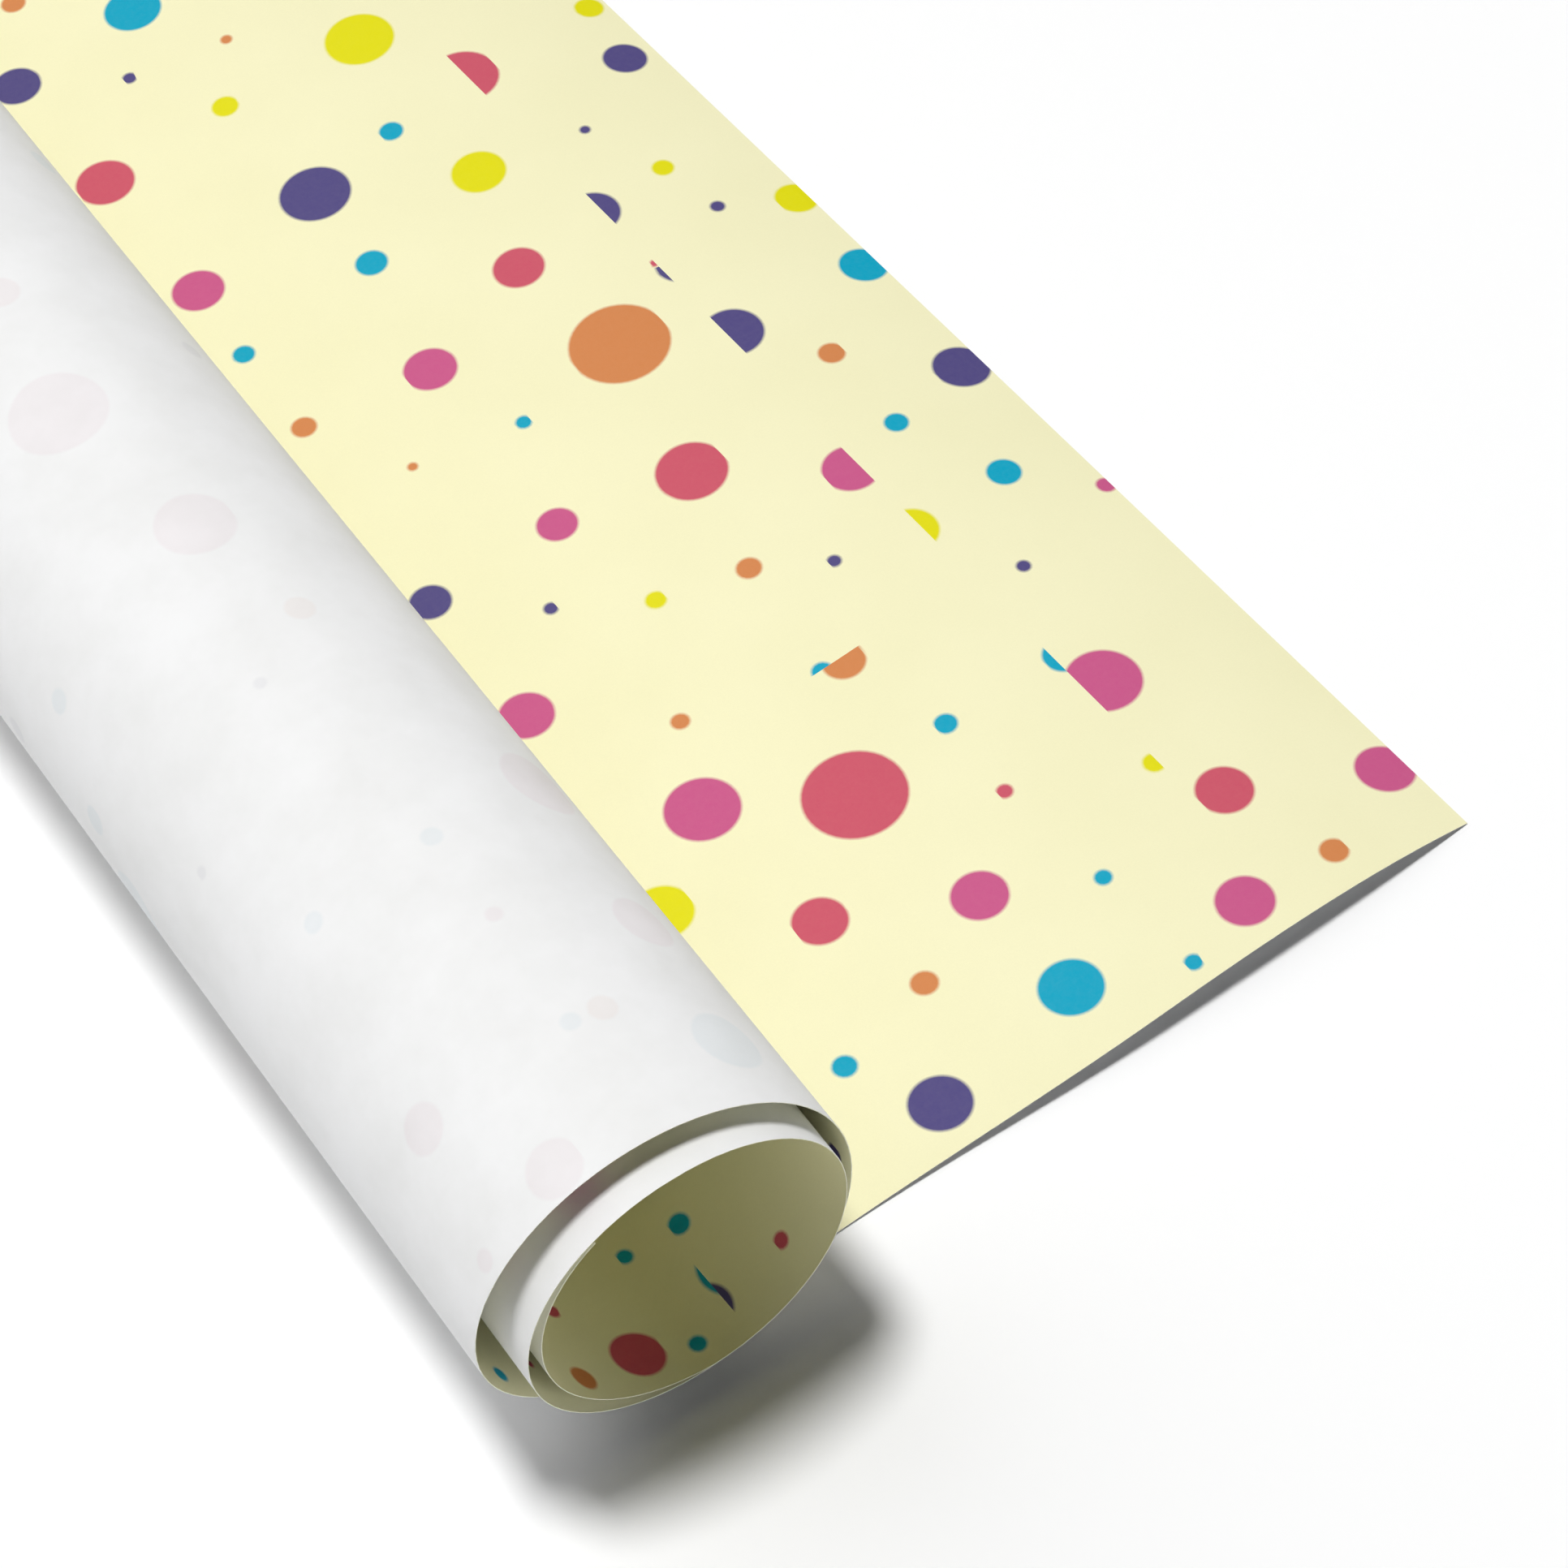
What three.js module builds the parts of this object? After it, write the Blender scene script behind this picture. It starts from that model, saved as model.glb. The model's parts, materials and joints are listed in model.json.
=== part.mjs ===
// A coreless roll of gift wrap, partly unrolled, in millimetres.
//
// The whole object is one rectangular sheet of printed paper. Its free edge lies on the table at the right,
// the sheet runs left over a low arch, passes under the roll and then winds up, over and around inside itself
// for a little over two turns. The printed face is up on the tail and inside the roll; the plain back is outside.
//
// A sheet bends everywhere, so it is divided into long narrow strips that are hinged edge to edge.
// Every strip is cut flat, like the sheet itself: u runs from the free edge towards the roll, square to the
// roll's axis, and the strip's length runs along Y. Each strip is then turned about Y to reach from its own
// hinge line to the next.
//
// Y is the roll's axis, X points from the roll to the free edge, and Z is up. The table is at Z = 0.
import * as THREE from 'three';

// The sheet
const webLength = 700;            // across the web, along the roll
const paperThickness = 0.4;       // real gift wrap is 0.1 to 0.2; thick enough to collide
const hingeGap = 0.4;             // clear gap between one strip and the next
const skew = THREE.MathUtils.degToRad(2.4);   // the sheet was rolled this far out of square

// The tail that lies on the table
const leadWidth = 40;             // the first strip, which carries the skewed free edge
const tailStripCount = 6;
const tailStripWidth = 20;
const archHeight = 4.8;           // the tail bows up off the table by this much
const archFall = 2.4;             // the larger this is, the nearer the crest is to the free edge
const contactWidth = 16;          // from the arch's foot to the line where the sheet starts to wind up
const edgeBow = 2;                // the near edge bends along +Y by this much where the sheet nears the roll,
const bowRise = [70, 140];        // coming on between these distances from the free edge
const bowFade = [160, 250];       // and going again between these

// The roll: how tightly the paper is bent at each quarter turn, from the table inwards
const quarterTurnRadii = [38.6, 37, 35.6, 33.9, 33, 31.4, 31.8, 30, 30.2, 27.6, 27];
// and how far the near edge has crept along -Y by then
const quarterTurnCreep = [0, 2.4, 4.9, 7.2, 9.2, 10.4, 10.8, 10.2, 10.6, 9, 8.4];
const stripTurn = 30;             // degrees of winding that one strip covers
const arcStep = 1;                // degrees, for adding up the spiral
const stripsPerTurn = 360 / stripTurn;
const thirdTurnStrips = 5;

const tailRun = leadWidth + tailStripCount * tailStripWidth;
const contactLine = tailRun + contactWidth;
const midPaper = paperThickness / 2;

const printedFace = { color: 0xf6f3c8, roughness: 0.6, metalness: 0 };
const plainBack = { color: 0xf2f2f0, roughness: 0.65, metalness: 0 };

// A value between the two nearest quarter turns.
function atAngle(values, degrees) {
  const place = degrees / 90;
  const index = Math.min(Math.floor(place), values.length - 2);
  return THREE.MathUtils.lerp(values[index], values[index + 1], place - index);
}

// Height of the arched tail, u from the free edge: steepest at the free edge, and on the table at both ends.
function archAt(u) {
  const shape = (across) => across * (1 - across) ** archFall;
  return archHeight * shape(u / tailRun) / shape(1 / (1 + archFall));
}

// How far the near edge is out of a straight line there.
function bowAt(u) {
  return edgeBow * (THREE.MathUtils.smoothstep(u, ...bowRise) - THREE.MathUtils.smoothstep(u, ...bowFade));
}

// Hinge lines from the free edge to the inner end. x and z are on the middle of the paper,
// and near is where the sheet's near edge crosses that line.
function tailLines() {
  const lines = [{ x: 0, z: midPaper, near: 0 }];
  for (let i = 0; i <= tailStripCount; i += 1) {
    const u = leadWidth + i * tailStripWidth;
    lines.push({ x: -u, z: midPaper + archAt(u), near: bowAt(u) - u * Math.tan(skew) });
  }
  return lines;
}

// Each strip of the roll touches the sheet along its own middle, so the hinge lines stand a little outside it.
// The last line is the sheet's inner free end, which is on the sheet.
function windingLines() {
  const lines = [];
  const lastAngle = (2 * stripsPerTurn + thirdTurnStrips) * stripTurn;
  const outside = 1 / Math.cos(THREE.MathUtils.degToRad(stripTurn / 2)) - 1;
  let x = -contactLine;
  let z = midPaper;
  let u = contactLine;
  for (let degrees = 0; degrees <= lastAngle; degrees += arcStep) {
    const atHinge = degrees % stripTurn === stripTurn / 2;
    if (atHinge || degrees === lastAngle) {
      const here = THREE.MathUtils.degToRad(degrees);
      const out = atHinge ? outside * atAngle(quarterTurnRadii, degrees) : 0;
      const drift = contactLine * Math.tan(skew) + atAngle(quarterTurnCreep, degrees);
      lines.push({ x: x - out * Math.sin(here), z: z - out * Math.cos(here), near: bowAt(u) - drift });
    }
    const middle = THREE.MathUtils.degToRad(degrees + arcStep / 2);
    const arc = atAngle(quarterTurnRadii, degrees + arcStep / 2) * THREE.MathUtils.degToRad(arcStep);
    x -= arc * Math.cos(middle);
    z += arc * Math.sin(middle);
    u += arc;
  }
  return lines;
}

// One strip between two hinge lines. It is outlined flat, in mm along its chord and along Y,
// given the paper's thickness, and turned to reach between the two lines.
function strip(name, from, to, finish, outlineStart = hingeGap / 2, freeEdgeRun = 0) {
  const chord = Math.hypot(to.x - from.x, to.z - from.z);
  const nearAt = (s) => THREE.MathUtils.lerp(from.near, to.near, s / chord);
  const start = outlineStart;
  const end = chord - hingeGap / 2;
  const outline = new THREE.Shape([
    new THREE.Vector2(start, nearAt(start)),
    new THREE.Vector2(end, nearAt(end)),
    new THREE.Vector2(end, nearAt(end) + webLength),
    new THREE.Vector2(start + freeEdgeRun, nearAt(start + freeEdgeRun) + webLength),
  ]);
  const geometry = new THREE.ExtrudeGeometry(outline, { depth: paperThickness, bevelEnabled: false });
  geometry.translate(0, 0, -midPaper);
  const mesh = new THREE.Mesh(geometry, new THREE.MeshStandardMaterial(finish));
  mesh.name = name;
  mesh.position.set(from.x, 0, from.z);
  mesh.rotation.y = Math.atan2(from.z - to.z, to.x - from.x);
  return mesh;
}

// Strips first, first + 1, ... between neighbouring hinge lines, numbered from 1.
function stripRow(prefix, lines, finish) {
  return lines.slice(1).map((line, i) => (
    strip(`${prefix}_${String(i + 1).padStart(2, '0')}`, lines[i], line, finish)
  ));
}

const roll = new THREE.Group();
const tail = tailLines();
const winding = windingLines();

// The free edge runs out of square with the roll, so the lead strip narrows towards the far end.
const freeEdgeRun = webLength * Math.tan(skew);
roll.add(strip('lead_strip', tail[0], tail[1], printedFace, 0, freeEdgeRun));
roll.add(...stripRow('tail_strip', tail.slice(1), printedFace));
roll.add(strip('contact_strip', tail.at(-1), winding[0], printedFace));
roll.add(...stripRow('outer_turn', winding.slice(0, stripsPerTurn + 1), plainBack));
roll.add(...stripRow('second_turn', winding.slice(stripsPerTurn, 2 * stripsPerTurn + 1), plainBack));
roll.add(...stripRow('third_turn', winding.slice(2 * stripsPerTurn), printedFace));

// The origin is on the table, under the middle of the whole object.
const extent = new THREE.Box3().setFromObject(roll, true);
const middle = extent.getCenter(new THREE.Vector3());
roll.position.set(-middle.x, -middle.y, -extent.min.z);

const group = new THREE.Group();
group.name = 'wrapping_paper_roll';
group.add(roll);

export default group;
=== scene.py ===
import json
import math
import random

import bpy
import numpy as np
from mathutils import Matrix, Vector
from mathutils.geometry import delaunay_2d_cdt


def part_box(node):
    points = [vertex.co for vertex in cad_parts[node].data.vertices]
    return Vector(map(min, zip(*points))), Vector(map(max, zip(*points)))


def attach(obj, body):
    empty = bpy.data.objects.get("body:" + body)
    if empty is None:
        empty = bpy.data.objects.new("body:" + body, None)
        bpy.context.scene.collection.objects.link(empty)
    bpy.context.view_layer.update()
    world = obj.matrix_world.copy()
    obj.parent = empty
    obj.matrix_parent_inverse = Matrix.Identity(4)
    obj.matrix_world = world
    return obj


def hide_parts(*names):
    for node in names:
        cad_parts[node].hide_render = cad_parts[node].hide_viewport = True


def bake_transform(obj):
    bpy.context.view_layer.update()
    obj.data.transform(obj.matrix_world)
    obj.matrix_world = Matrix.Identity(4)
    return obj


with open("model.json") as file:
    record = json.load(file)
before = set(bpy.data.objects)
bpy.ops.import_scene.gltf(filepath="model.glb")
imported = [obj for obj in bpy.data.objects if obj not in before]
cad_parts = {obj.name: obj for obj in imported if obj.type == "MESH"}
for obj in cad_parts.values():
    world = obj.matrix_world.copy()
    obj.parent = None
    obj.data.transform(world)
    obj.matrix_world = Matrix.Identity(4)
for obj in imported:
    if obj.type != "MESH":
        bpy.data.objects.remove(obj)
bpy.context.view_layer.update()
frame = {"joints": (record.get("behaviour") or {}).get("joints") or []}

# Lengths below are in millimetres on the flat sheet, and in metres once a point is in the frame.
MM = 0.001

# The sheet, with the same driving dimensions as the CAD, whose flat strips don't give them.
# p runs from the free edge towards the roll and q from the near edge, both along the sheet's own sides.
SKEW = math.radians(2.4)
TAN_SKEW, COS_SKEW, SIN_SKEW = math.tan(SKEW), math.cos(SKEW), math.sin(SKEW)
WEB_LENGTH = 700.0
LEAD_WIDTH = 40.0
TAIL_STRIP_WIDTH = 20.0
TAIL_STRIPS = 6
TAIL_RUN = LEAD_WIDTH + TAIL_STRIPS * TAIL_STRIP_WIDTH
CONTACT_WIDTH = 16.0
CONTACT_LINE = TAIL_RUN + CONTACT_WIDTH
ARCH_HEIGHT = 4.8
ARCH_FALL = 2.4
EDGE_BOW = 2.0
BOW_RISE, BOW_FADE = (70.0, 140.0), (160.0, 250.0)
QUARTER_RADII = (38.6, 37, 35.6, 33.9, 33, 31.4, 31.8, 30, 30.2, 27.6, 27)
QUARTER_CREEP = (0, 2.4, 4.9, 7.2, 9.2, 10.4, 10.8, 10.2, 10.6, 9, 8.4)
STRIP_TURN = 30
STRIPS_PER_TURN = 360 // STRIP_TURN
THIRD_TURN_STRIPS = 5
LAST_ANGLE = (2 * STRIPS_PER_TURN + THIRD_TURN_STRIPS) * STRIP_TURN
PAPER = 0.14                     # thickness that shows, a little under the CAD's

SHEET_LENGTH_Q = WEB_LENGTH * COS_SKEW


def srgb(red, green, blue, alpha=1.0):
    """Display colour 0 to 255 as linear light."""
    def linear(value):
        value /= 255
        return value / 12.92 if value <= 0.04045 else ((value + 0.055) / 1.055) ** 2.4
    return (linear(red), linear(green), linear(blue), alpha)


INKS = {
    "yellow": srgb(227, 221, 12),
    "teal": srgb(4, 164, 196),
    "purple": srgb(83, 75, 131),
    "orange": srgb(213, 135, 81),
    "red": srgb(205, 87, 107),
    "pink": srgb(202, 89, 139),
}


# ---------------------------------------------------------------- the sheet's end profile

def smooth_step(value, start, end):
    share = np.clip((value - start) / (end - start), 0, 1)
    return share * share * (3 - 2 * share)


def arch_shape(across):
    """The tail's rise before it is scaled. across is 0 at the free edge and 1 at the foot by the roll."""
    return across * (1 - across) ** ARCH_FALL


def joint_named(name):
    return next(joint for joint in frame["joints"] if joint["name"] == name)


class Profile:
    """The sheet seen along the roll.

    u is the distance from the free edge's near corner, measured along the paper and square to the roll.
    """

    def __init__(self):
        degrees = np.arange(0.0, LAST_ANGLE + 1)
        quarters = 90.0 * np.arange(len(QUARTER_RADII))
        middle = degrees[:-1] + 0.5
        arc = np.interp(middle, quarters, QUARTER_RADII) * math.radians(1)
        turned = np.radians(middle)
        zero = [0.0]
        self.degrees = degrees
        self.u = CONTACT_LINE + np.concatenate([zero, np.cumsum(arc)])
        self.x = -CONTACT_LINE - np.concatenate([zero, np.cumsum(arc * np.cos(turned))])
        self.z = np.concatenate([zero, np.cumsum(arc * np.sin(turned))])
        self.creep = np.interp(degrees, quarters, QUARTER_CREEP)
        self.end = float(self.u[-1])
        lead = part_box("lead_strip")
        foot = joint_named("tail_lift")["pos_m"]
        self.origin = np.array([
            foot[0] + TAIL_RUN * MM,
            lead[0][1] + LEAD_WIDTH * TAN_SKEW * MM,
            foot[2],
        ])

    def u_at(self, degrees):
        return float(np.interp(degrees, self.degrees, self.u))

    def near(self, u):
        """Where the near edge crosses the line at u, along the roll."""
        creep = np.interp(u, self.u, self.creep)
        bow = EDGE_BOW * (smooth_step(u, *BOW_RISE) - smooth_step(u, *BOW_FADE))
        return bow - np.minimum(u, CONTACT_LINE) * TAN_SKEW - creep

    def q_line(self, u):
        """The p of the line at u, at the near edge and at the far edge."""
        return u / COS_SKEW, u / COS_SKEW - SHEET_LENGTH_Q * TAN_SKEW

    def place(self, p, q):
        """Points on the middle of the paper, in the frame."""
        u = p * COS_SKEW + q * SIN_SKEW
        free_edge = q * SIN_SKEW
        across = np.clip((u - free_edge) / (TAIL_RUN - free_edge), 0, 1)
        crest = arch_shape(1 / (1 + ARCH_FALL))
        arch = ARCH_HEIGHT * arch_shape(across) / crest
        wound = u > CONTACT_LINE
        x = np.where(wound, np.interp(u, self.u, self.x), -u)
        z = np.where(wound, np.interp(u, self.u, self.z), arch)
        y = self.near(u) + q / COS_SKEW
        return self.origin + np.column_stack([x, y, z]) * MM

    def printed_normal(self, p, q):
        """Unit normals out of the printed face, from the directions of the surface around each point."""
        step = 0.2
        u = p * COS_SKEW + q * SIN_SKEW
        low = np.minimum(step, np.maximum(u - q * SIN_SKEW, 0))
        high = np.minimum(step, np.maximum(self.end - u, 0))
        along = self.place(p + high, q) - self.place(p - low, q)
        across = self.place(p, q + step) - self.place(p, q - step)
        normal = np.cross(across, along)
        return normal / np.linalg.norm(normal, axis=1)[:, None]


profile = Profile()

# ---------------------------------------------------------------- the print

# The pattern is joined along three lines, and a dot that one of them cuts keeps one side only.
FREE_SEAM = 37.0
CROSS_SEAM = 102.0
INNER_SEAM = 587.6

# Measured dots by colour, each as p, q and diameter.
DOTS = {
    "teal": (
        (60, 5, 3.6), (80, 15, 12.2), (121, 27, 4.8), (61, 30, 3.5), (62, 76.5, 4.7), (15.5, 119.5, 7),
        (24.5, 142.5, 5), (3, 183, 10), (81, 190.5, 3.4), (114, 243, 4.7), (81, 246.5, 6.8),
        (58, 274.5, 5.2), (80.5, 342.5, 12.4), (585, 26, 4.2), (596, 27, 3.1), (596, 5, 3.3),
        (215, 5, 3.3), (318, 15, 13.4), (250, 149, 4.7), (237, 131, 5.8), (293, 73, 4), (294, 27, 3.7),
        (318, 272, 6.4), (268, 73, 4),
    ),
    "orange": (
        (24.5, 8.5, 5.6), (99.5, 32.5, 5.3), (99.5, 109.5, 3.8), (68.5, 131, 5.2), (23.5, 165.5, 5.6),
        (55, 194.5, 20.8), (104, 195.5, 2.2), (115, 218.5, 5.3), (70, 321, 2.6), (99, 362, 5.4),
        (620, 5, 5.2), (298, 131, 5.7), (300, 27, 5.3),
    ),
    "pink": (
        (44.5, 9.5, 11.2), (4, 18.5, 11.5), (80.5, 41.5, 10.9), (108, 90, 14.6), (1, 106, 4),
        (121, 129.5, 11), (90.5, 164.5, 8.3), (87.5, 214.5, 11), (112, 264, 11), (282, 196, 19),
        (291, 158, 15), (321, 82, 16), (278, 5.5, 10.5), (263, 29, 9), (320, 45, 12.3), (294, 53, 3.2),
        (258, 4, 4),
    ),
    "purple": (
        (112.5, 10, 11.8), (27.5, 97.5, 3), (55, 121.5, 3), (103, 148, 3), (4.5, 148, 11.7),
        (120, 164.5, 8.5), (17.5, 213.5, 3.2), (26.5, 248.5, 2.4), (7, 262.5, 9.4), (79.5, 270.5, 15),
        (91.5, 325.5, 3.2), (111, 340, 10.6), (352, 5, 3.8), (284, 119, 2.5), (255, 99, 2.5),
        (318, 209, 4.6),
    ),
    "red": (
        (31.5, 31.5, 11.1), (106, 55.5, 10.6), (63, 57, 3.3), (84.5, 74.5, 20.1), (63, 158, 14.6),
        (59, 225, 10.8), (111, 303, 12.5), (573, 9, 3.3), (606, 8, 9.7), (615, 21, 3), (433, 11, 2),
        (286, 229, 7.7),
    ),
    "yellow": (
        (127, 75.5, 12), (86.5, 136.5, 4.3), (2.5, 207, 9), (20, 229.5, 4.7), (50.5, 252.5, 11.6),
        (4, 280.5, 6.3), (48.5, 301.5, 15), (80.5, 304.5, 5.8),
    ),
}

# Measured dots that a seam cuts, each as colour, p, q, diameter, the seam and the side of it that is kept.
CUT_DOTS = (
    ("yellow", 37.7, 44.5, 4.5, "free", 1),
    ("pink", 33, 65.7, 15, "free", -1),
    ("teal", 35, 75.3, 8.3, "free", 1),
    ("yellow", 39, 118, 11, "free", -1),
    ("pink", 38.7, 138.2, 11.7, "free", 1),
    ("purple", 35.8, 182.2, 12.8, "free", -1),
    ("red", 37.2, 207.8, 2, "free", 1),
    ("purple", 33.4, 204.5, 9.8, "free", 1),
    ("purple", 39, 227.4, 11.7, "free", -1),
    ("red", 37.7, 277.6, 15.2, "free", -1),
    ("orange", 67.8, 101, 8.7, "cross", -1),
    ("teal", 72.3, 101.7, 4.3, "cross", 1),
    ("purple", 591.2, 9.6, 10.2, "inner", -1),
    ("teal", 582.1, 14, 13.2, "inner", 1),
)

SEAMS = {"free": (0, FREE_SEAM), "cross": (1, CROSS_SEAM), "inner": (0, INNER_SEAM)}
SOFT_EDGE = 0.35                 # how far the ink fades on each side of a dot's edge
RING_POINTS_PER_MM = 8           # points round a dot, by its radius
FEWEST_RING_POINTS, MOST_RING_POINTS = 12, 44

# The rest of the sheet is filled in at random, in the same colours and sizes.
FILL_PER_MM2 = 0.00115
FILL_SEED = 20
FILL_MARGIN = 5.0                # bare paper left round a filled-in dot
FILL_DIAMETERS = (2.6, 3.2, 3.8, 4.8, 5.4, 6.6, 8.6, 10.8, 11.6, 12.4, 14.8, 20.2)

# The measured dots are the whole print on the tail, up to a line that leans, and at the roll's near end.
TAIL_READ_P, TAIL_READ_Q, TAIL_READ_LEAN = 135, 290, 0.7
NEAR_END_Q = 30
BACK_READ_P, BACK_READ_Q = (235, 330), 290


class Dot:
    def __init__(self, colour, p, q, diameter, seam=None, side=0):
        self.colour = colour
        self.p = p
        self.q = q
        self.radius = diameter / 2
        self.seam = seam
        self.side = side

    def kept(self, p, q):
        """True where the dot's side of its seam is."""
        if self.seam is None:
            return np.ones(len(p), bool)
        axis, line = SEAMS[self.seam]
        return self.side * ((p, q)[axis] - line) > 0

    def ring(self, radius):
        count = int(np.clip(radius * RING_POINTS_PER_MM, FEWEST_RING_POINTS, MOST_RING_POINTS))
        turn = 2 * np.pi * np.arange(count) / count
        return np.column_stack([self.p + radius * np.cos(turn), self.q + radius * np.sin(turn)])


def laid_out(p, q):
    """True where the measured dots are the whole print, so that nothing is filled in."""
    if p < TAIL_READ_P:
        return q < TAIL_READ_Q + TAIL_READ_LEAN * p
    return q < NEAR_END_Q or (q < BACK_READ_Q and BACK_READ_P[0] < p < BACK_READ_P[1])


def make_dots():
    dots = [Dot(colour, *place) for colour, places in DOTS.items() for place in places]
    dots += [Dot(*cut) for cut in CUT_DOTS]
    draw = random.Random(FILL_SEED)
    length = profile.end / COS_SKEW
    wanted = int(FILL_PER_MM2 * length * SHEET_LENGTH_Q)
    colours = list(DOTS)
    for _ in range(wanted):
        colour = draw.choice(colours)
        p, q = draw.uniform(0, length), draw.uniform(0, SHEET_LENGTH_Q)
        diameter = draw.choice(FILL_DIAMETERS)
        clear = all(
            math.hypot(p - other.p, q - other.q) > diameter / 2 + other.radius + FILL_MARGIN
            for other in dots
        )
        if clear and not laid_out(p, q):
            dots.append(Dot(colour, p, q, diameter))
    return dots


# ---------------------------------------------------------------- the flat sheet, cut into triangles

ARCH_RULINGS = 44                # lines across the tail
WIND_STEP = 5                    # degrees between lines across the wound part
FIRST_CUT = 50.0                 # the middle of the first 20 mm strip
RIGID_TURN = (360, 720)          # degrees of winding that move as one
SHORTEST_EDGE = 1e-6             # as a share of a line
MERGE_DISTANCE = 1e-4
SMALLEST_TRIANGLE = 1e-9


def cut_lines():
    """The lines between the visible pieces, as distances u, each down the middle of a strip."""
    tail = [FIRST_CUT + TAIL_STRIP_WIDTH * i for i in range(TAIL_STRIPS)]
    outer = range(0, RIGID_TURN[0] + 1, STRIP_TURN)
    third = range(RIGID_TURN[1], LAST_ANGLE, STRIP_TURN)
    return tail + [profile.u_at(angle) for angle in [*outer, *third]]


class Outline:
    """Points and edges for the triangulation, with every edge cut to the sheet's own outline."""

    def __init__(self):
        self.points, self.edges = [], []

    def line(self, start, end):
        """Adds the stretch of a line that lies on the sheet."""
        start, end = np.array(start, float), np.array(end, float)
        low, high = 0.0, 1.0
        for inside_start, inside_end in self.depths(start, end):
            if inside_start < 0 and inside_end < 0:
                return
            if inside_start < 0:
                low = max(low, inside_start / (inside_start - inside_end))
            if inside_end < 0:
                high = min(high, inside_start / (inside_start - inside_end))
        if high - low < SHORTEST_EDGE:
            return
        first = len(self.points)
        self.points += [start + (end - start) * low, start + (end - start) * high]
        self.edges.append((first, first + 1))

    @staticmethod
    def depths(start, end):
        """How far inside each edge of the sheet both ends are."""
        def inner(point):
            return profile.end - (point[0] * COS_SKEW + point[1] * SIN_SKEW)
        return (
            (start[0], end[0]),
            (start[1], end[1]),
            (SHEET_LENGTH_Q - start[1], SHEET_LENGTH_Q - end[1]),
            (inner(start), inner(end)),
        )

    def ring(self, points):
        for start, end in zip(points, np.roll(points, -1, axis=0)):
            self.line(start, end)

    def across(self, u):
        """A line square to the roll's end, from the near edge to the far edge."""
        near, far = profile.q_line(u)
        self.line((near, 0), (far, SHEET_LENGTH_Q))


def triangulate(dots):
    outline = Outline()
    length = profile.end / COS_SKEW
    inner_far = (profile.end - SHEET_LENGTH_Q * SIN_SKEW) / COS_SKEW
    outline.line((0, 0), (length, 0))
    outline.line((0, SHEET_LENGTH_Q), (inner_far, SHEET_LENGTH_Q))
    outline.line((0, 0), (0, SHEET_LENGTH_Q))
    outline.line((length, 0), (inner_far, SHEET_LENGTH_Q))
    for step in range(1, ARCH_RULINGS + 1):
        share = step / ARCH_RULINGS
        near = share * TAIL_RUN / COS_SKEW
        far = share * (TAIL_RUN - SHEET_LENGTH_Q * SIN_SKEW) / COS_SKEW
        outline.line((near, 0), (far, SHEET_LENGTH_Q))
    for angle in range(0, LAST_ANGLE, WIND_STEP):
        outline.across(profile.u_at(angle))
    for u in cut_lines():
        outline.across(u)
    for axis, line in SEAMS.values():
        if axis == 0:
            outline.line((line, 0), (line, SHEET_LENGTH_Q))
        else:
            outline.line((0, line), (TAIL_RUN, line))
    for dot in dots:
        for radius in (dot.radius - SOFT_EDGE, dot.radius + SOFT_EDGE):
            outline.ring(dot.ring(radius))
    points, _, faces, _, _, _ = delaunay_2d_cdt(
        [Vector(point) for point in outline.points], outline.edges, [], 1, MERGE_DISTANCE
    )
    return np.array([tuple(point) for point in points]), np.array([tuple(face) for face in faces])


def ink_of(flat, triangles, dots):
    """For each corner of each triangle, the ink's colour and how much of it there is.

    Bare paper has no cover, so the colour that stands there doesn't show.
    """
    corners = flat[triangles]
    centre = corners.mean(axis=1)
    ink = np.zeros((len(triangles), 3, 4))
    ink[:, :, :3] = INKS["yellow"][:3]
    free = np.ones(len(triangles), bool)
    for dot in dots:
        away = np.hypot(centre[:, 0] - dot.p, centre[:, 1] - dot.q)
        chosen = free & (away < dot.radius + SOFT_EDGE) & dot.kept(centre[:, 0], centre[:, 1])
        distance = np.hypot(corners[chosen, :, 0] - dot.p, corners[chosen, :, 1] - dot.q)
        cover = np.clip((dot.radius + SOFT_EDGE - distance) / (2 * SOFT_EDGE), 0, 1)
        ink[chosen, :, :3] = INKS[dot.colour][:3]
        ink[chosen, :, 3] = cover
        free &= ~chosen
    return ink


# ---------------------------------------------------------------- the pieces

PRINTED, BACK, EDGE = 0, 1, 2


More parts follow.
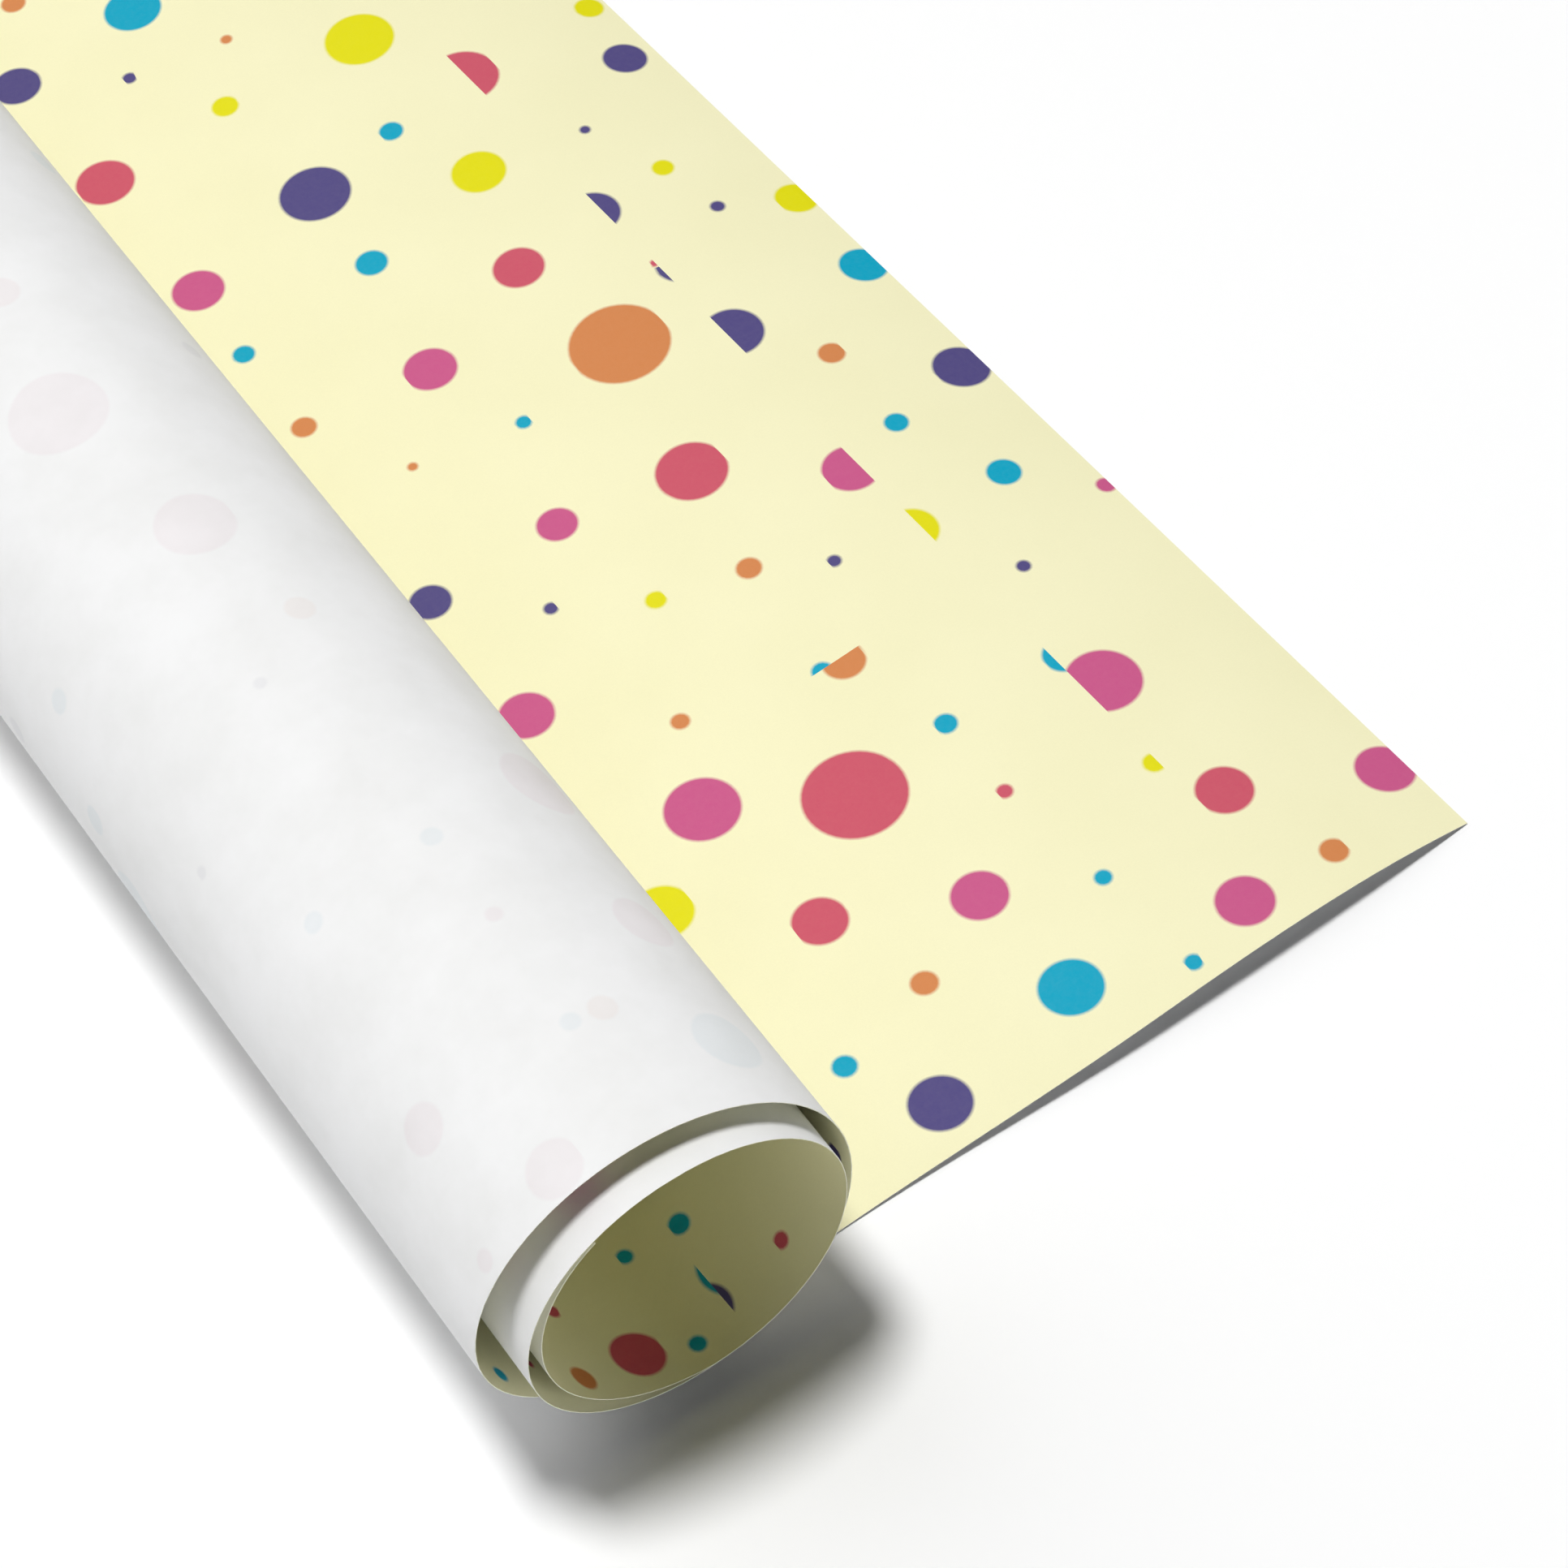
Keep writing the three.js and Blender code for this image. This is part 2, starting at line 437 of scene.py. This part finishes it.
def make_piece(name, flat, triangles, ink, materials):
    """A closed thin shell over some of the triangles: printed face, plain back and cut edge all round."""
    used, local = np.unique(triangles, return_inverse=True)
    local = local.reshape(triangles.shape)
    p, q = flat[used, 0], flat[used, 1]
    middle = profile.place(p, q)
    normal = profile.printed_normal(p, q)
    half = normal * (PAPER / 2 * MM)
    count = len(used)
    places = np.vstack([middle + half, middle - half])
    front = local
    back = local[:, ::-1] + count
    directed = np.vstack([local[:, [0, 1]], local[:, [1, 2]], local[:, [2, 0]]])
    keys = directed[:, 0] * count + directed[:, 1]
    reverse = directed[:, 1] * count + directed[:, 0]
    rim = directed[~np.isin(keys, reverse)]
    rim_faces = np.column_stack([rim[:, 1], rim[:, 0], rim[:, 0] + count, rim[:, 1] + count])

    mesh = bpy.data.meshes.new(name)
    mesh.from_pydata(places.tolist(), [], front.tolist() + back.tolist() + rim_faces.tolist())
    slots = np.concatenate([
        np.full(len(front), PRINTED), np.full(len(back), BACK), np.full(len(rim_faces), EDGE),
    ]).astype(np.int32)
    for material in materials:
        mesh.materials.append(material)
    mesh.polygons.foreach_set("material_index", slots)
    mesh.polygons.foreach_set("use_smooth", np.ones(len(slots), bool))

    plain = np.zeros((len(rim_faces) * 4, 4))
    colours = np.vstack([ink.reshape(-1, 4), ink[:, ::-1].reshape(-1, 4), plain])
    attribute = mesh.color_attributes.new("ink", "FLOAT_COLOR", "CORNER")
    attribute.data.foreach_set("color", colours.astype(np.float32).ravel())

    side = np.cross(places[rim[:, 0]] - places[rim[:, 1]], -normal[rim[:, 0]])
    side /= np.linalg.norm(side, axis=1)[:, None]
    normals = np.vstack([
        normal[front.ravel()], -normal[(back - count).ravel()], np.repeat(side, 4, axis=0),
    ])
    mesh.normals_split_custom_set(normals.tolist())
    mesh.update()
    piece = bpy.data.objects.new(name, mesh)
    bpy.context.scene.collection.objects.link(piece)
    return piece


def along(u):
    """A point on the middle of the paper, on the line at u, half way down the sheet."""
    q = SHEET_LENGTH_Q / 2
    p = (u - q * SIN_SKEW) / COS_SKEW
    return profile.place(np.array([p]), np.array([q]))[0]


def numbered(prefix, last, first=1):
    return [f"{prefix}_{i:02d}" for i in range(first, last + 1)]


def pieces_plan():
    """Each piece's name, the joint that it bends at, its CAD nodes, and where it starts and ends."""
    outer = numbered("outer_turn", STRIPS_PER_TURN)
    second = numbered("second_turn", STRIPS_PER_TURN)
    nodes = [[node] for node in ["lead_strip", *numbered("tail_strip", TAIL_STRIPS), "contact_strip"]]
    nodes += [[node] for node in outer[:-1]]
    nodes += [outer[-1:] + second]
    nodes += [[node] for node in numbered("third_turn", THIRD_TURN_STRIPS)]
    bends = numbered("tail_lift", TAIL_STRIPS + 1, 2)[::-1] + ["tail_lift"]
    bends += ["unroll"] + numbered("unroll", STRIPS_PER_TURN, 2)
    bends += [None]
    bends += ["inner_curl"] + numbered("inner_curl", THIRD_TURN_STRIPS, 2)
    names = ["free_end"] + numbered("tail", TAIL_STRIPS)
    names += numbered("outer", STRIPS_PER_TURN)
    names += ["second_turn"]
    names += numbered("third", THIRD_TURN_STRIPS)
    lines = [0.0] + cut_lines() + [profile.end]
    return list(zip(names, bends, nodes, lines[:-1], lines[1:]))


def bend_ends(start, end):
    """Where a piece starts and ends its bend, as two points with the same y."""
    if start < FIRST_CUT:
        start = end - TAIL_STRIP_WIDTH
    on_tail = start < TAIL_RUN
    if on_tail:
        end = start + TAIL_STRIP_WIDTH
    first, last = along(start), along(end)
    first[1] = last[1] = 0
    if on_tail:
        first[2] = last[2] = 0
    return first, last


def flat_size(name, start, end):
    """Width, length and area of a piece of the flat sheet, in metres."""
    width, length = (end - start) / COS_SKEW * MM, SHEET_LENGTH_Q * MM
    area = width * length
    if name == "free_end":
        area -= 0.5 * (SHEET_LENGTH_Q * TAN_SKEW * MM) * length
    return width, length, area


def build_sheet(materials):
    dots = make_dots()
    flat, triangles = triangulate(dots)
    a, b, c = (flat[triangles[:, i]] for i in range(3))
    twice = (b[:, 0] - a[:, 0]) * (c[:, 1] - a[:, 1]) - (b[:, 1] - a[:, 1]) * (c[:, 0] - a[:, 0])
    real = np.abs(twice) > SMALLEST_TRIANGLE
    triangles = triangles[real]
    twice = twice[real]
    triangles[twice > 0] = triangles[twice > 0][:, ::-1]
    ink = ink_of(flat, triangles, dots)
    centre = flat[triangles].mean(axis=1)
    u = centre[:, 0] * COS_SKEW + centre[:, 1] * SIN_SKEW
    for name, bend, nodes, start, end in pieces_plan():
        inside = (u > start) & (u < end)
        piece = make_piece(name, flat, triangles[inside], ink[inside], materials)
        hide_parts(*nodes)
        if bend:
            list(bend_ends(start, end))
            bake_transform(piece)
        else:
            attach(piece, "inner_roll")
        width, length, area = flat_size(name, start, end)


# ---------------------------------------------------------------- the materials

class Nodes:
    """A material's node tree, with short calls to add and join nodes."""

    def __init__(self, name):
        self.material = bpy.data.materials.new(name)
        self.material.use_nodes = True
        self.tree = self.material.node_tree
        self.shader = self.tree.nodes["Principled BSDF"]

    def add(self, kind, **values):
        node = self.tree.nodes.new("ShaderNode" + kind)
        for key, value in values.items():
            setattr(node, key, value)
        return node

    def join(self, output, target):
        self.tree.links.new(output, target)

    def noise(self, place, scale, detail=3.0, roughness=0.5):
        node = self.add("TexNoise")
        node.inputs["Scale"].default_value = scale
        node.inputs["Detail"].default_value = detail
        node.inputs["Roughness"].default_value = roughness
        self.join(place, node.inputs["Vector"])
        return node.outputs["Fac"]

    def spread(self, value, low, high, to_low, to_high):
        node = self.add("MapRange")
        for key, number in zip(("From Min", "From Max", "To Min", "To Max"), (low, high, to_low, to_high)):
            node.inputs[key].default_value = number
        self.join(value, node.inputs["Value"])
        return node.outputs["Result"]

    def times(self, first, second):
        node = self.add("Math", operation="MULTIPLY")
        self.join(first, node.inputs[0])
        if isinstance(second, float):
            node.inputs[1].default_value = second
        else:
            self.join(second, node.inputs[1])
        return node.outputs["Value"]

    def mix(self, share, first, second, blend="MIX"):
        node = self.add("Mix", data_type="RGBA", blend_type=blend)
        for socket, value in zip((node.inputs[0], node.inputs[6], node.inputs[7]), (share, first, second)):
            if isinstance(value, (float, tuple)):
                socket.default_value = value
            else:
                self.join(value, socket)
        return node.outputs[2]

    def grain(self, place, strength, distance):
        """Fine fibre and felt marks in the paper's surface."""
        fine = self.noise(place, 2600, 4, 0.65)
        broad = self.noise(place, 240, 3, 0.6)
        height = self.mix(0.3, fine, broad)
        bump = self.add("Bump")
        bump.inputs["Strength"].default_value = strength
        bump.inputs["Distance"].default_value = distance
        self.join(height, bump.inputs["Height"])
        self.join(bump.outputs["Normal"], self.shader.inputs["Normal"])


PAPER_CREAM = srgb(246, 242, 200)
PAPER_CREAM_WARM = srgb(244, 240, 197)
PAPER_WHITE = srgb(250, 250, 250)
PAPER_WHITE_DULL = srgb(243, 243, 242)


def printed_face():
    """Cream coated paper with flat spots of ink."""
    nodes = Nodes("printed_face")
    place = nodes.add("TexCoord").outputs["Object"]
    ink = nodes.add("Attribute", attribute_name="ink")
    cloudy = nodes.spread(nodes.noise(place, 30, 3), 0.35, 0.65, 0, 1)
    paper = nodes.mix(cloudy, PAPER_CREAM, PAPER_CREAM_WARM)
    speckle = nodes.spread(nodes.noise(place, 3200, 2, 0.7), 0.25, 0.75, 0.985, 1.015)
    tint = nodes.add("CombineColor")
    for channel in tint.inputs:
        nodes.join(speckle, channel)
    mottle = nodes.spread(nodes.noise(place, 900, 4, 0.7), 0.3, 0.7, 0.985, 1.0)
    cover = nodes.times(ink.outputs["Alpha"], mottle)
    colour = nodes.mix(cover, paper, ink.outputs["Color"])
    nodes.join(nodes.mix(1.0, colour, tint.outputs["Color"], "MULTIPLY"), nodes.shader.inputs["Base Color"])
    rough = nodes.spread(nodes.noise(place, 700, 3), 0.3, 0.7, 0.5, 0.62)
    nodes.join(rough, nodes.shader.inputs["Roughness"])
    nodes.shader.inputs["Specular IOR Level"].default_value = 0.1
    nodes.grain(place, 0.25, 0.00005)
    return nodes.material


def plain_back():
    """Uncoated white paper, with the print showing through very faintly."""
    nodes = Nodes("plain_back")
    place = nodes.add("TexCoord").outputs["Object"]
    ink = nodes.add("Attribute", attribute_name="ink")
    cloudy = nodes.spread(nodes.noise(place, 60, 4, 0.6), 0.3, 0.7, 0, 1)
    paper = nodes.mix(cloudy, PAPER_WHITE, PAPER_WHITE_DULL)
    through = nodes.times(ink.outputs["Alpha"], 0.07)
    nodes.join(nodes.mix(through, paper, ink.outputs["Color"]), nodes.shader.inputs["Base Color"])
    rough = nodes.spread(nodes.noise(place, 500, 3), 0.3, 0.7, 0.7, 0.85)
    nodes.join(rough, nodes.shader.inputs["Roughness"])
    nodes.shader.inputs["Specular IOR Level"].default_value = 0.25
    nodes.grain(place, 0.35, 0.00006)
    return nodes.material


def cut_edge():
    """The core of the paper where it was cut, in a cream duller than the white paper: the fibre tones are
    the core's own, and the dulling below white is painted shade that keeps lit cut edges from showing as
    bright lines.
    """
    nodes = Nodes("cut_edge")
    place = nodes.add("TexCoord").outputs["Object"]
    fibres = nodes.spread(nodes.noise(place, 1500, 3), 0.3, 0.7, 0, 1)
    # Both tones sit below the core's white as painted shade, so the cut edges facing the lamps stay dim.
    colour = nodes.mix(fibres, srgb(232, 230, 210), srgb(216, 213, 190))
    nodes.join(colour, nodes.shader.inputs["Base Color"])
    nodes.shader.inputs["Roughness"].default_value = 0.8
    nodes.grain(place, 0.3, 0.00004)
    return nodes.material


# ---------------------------------------------------------------- the studio

def make_floor():
    half = 30.0
    corners = [(-half, -half, 0), (half, -half, 0), (half, half, 0), (-half, half, 0)]
    mesh = bpy.data.meshes.new("floor")
    mesh.from_pydata(corners, [], [(0, 1, 2, 3)])
    nodes = Nodes("floor_white")
    nodes.shader.inputs["Base Color"].default_value = (1, 1, 1, 1)
    nodes.shader.inputs["Roughness"].default_value = 0.9
    nodes.shader.inputs["Specular IOR Level"].default_value = 0.1
    mesh.materials.append(nodes.material)
    floor = bpy.data.objects.new("floor", mesh)
    bpy.context.scene.collection.objects.link(floor)


def add_light(name, kind, toward, place=(0, 0, 0), **values):
    """A light at a place, with its back to the direction that it shines from."""
    light = bpy.data.lights.new(name, kind)
    for key, value in values.items():
        setattr(light, key, value)
    lamp = bpy.data.objects.new(name, light)
    lamp.location = place
    lamp.rotation_euler = Vector(toward).to_track_quat("Z", "Y").to_euler()
    lamp.visible_camera = False
    bpy.context.scene.collection.objects.link(lamp)


def make_world():
    """A little light from all round, and a pale backdrop where the view passes the floor."""
    world = bpy.data.worlds.new("studio")
    bpy.context.scene.world = world
    world.use_nodes = True
    tree = world.node_tree
    seen = tree.nodes.new("ShaderNodeBackground")
    seen.inputs["Color"].default_value = (0.95, 0.95, 0.95, 1)
    lighting = tree.nodes["Background"]
    lighting.inputs["Color"].default_value = (1, 1, 1, 1)
    lighting.inputs["Strength"].default_value = 0.03
    choice = tree.nodes.new("ShaderNodeMixShader")
    path = tree.nodes.new("ShaderNodeLightPath")
    tree.links.new(path.outputs["Is Camera Ray"], choice.inputs["Fac"])
    tree.links.new(lighting.outputs["Background"], choice.inputs[1])
    tree.links.new(seen.outputs["Background"], choice.inputs[2])
    tree.links.new(choice.outputs["Shader"], tree.nodes["World Output"].inputs["Surface"])


def make_studio():
    make_floor()
    make_world()
    add_light("overhead", "SUN", (-0.03, 0.22, 1), energy=2.5, angle=math.radians(15))
    add_light("broad", "SUN", (-0.4, 0.9, 1), energy=0.75, angle=math.radians(60))
    in_front = (profile.origin[0] - CONTACT_LINE * MM, profile.origin[1] - 1.3, 0.06)
    add_light(
        "front", "AREA", (0, -1, 0), in_front,
        energy=7.5, shape="RECTANGLE", size=2.4, size_y=0.1, color=(0.88, 0.94, 1.0),
    )
    bpy.context.scene.view_settings.view_transform = "Standard"


CAMERA_PLACE = (-0.3441, -0.4056, 0.730)      # from the free edge's near corner
CAMERA_TILT, CAMERA_HEADING, CAMERA_ROLL = 53.07, 26.93, -8.12
CAMERA_LENS, CAMERA_SENSOR = 111.9, 36.0


def make_camera():
    data = bpy.data.cameras.new("camera")
    data.lens, data.sensor_width = CAMERA_LENS, CAMERA_SENSOR
    data.clip_start, data.clip_end = 0.01, 50
    camera = bpy.data.objects.new("camera", data)
    heading = Matrix.Rotation(math.radians(-CAMERA_HEADING), 4, "Z")
    tilt = Matrix.Rotation(math.radians(90 - CAMERA_TILT), 4, "X")
    roll = Matrix.Rotation(math.radians(CAMERA_ROLL), 4, "Z")
    corner = Vector((profile.origin[0], profile.origin[1], 0))
    camera.matrix_world = Matrix.Translation(corner + Vector(CAMERA_PLACE)) @ heading @ tilt @ roll
    bpy.context.scene.collection.objects.link(camera)
    bpy.context.scene.camera = camera


make_camera()
make_studio()
build_sheet([printed_face(), plain_back(), cut_edge()])
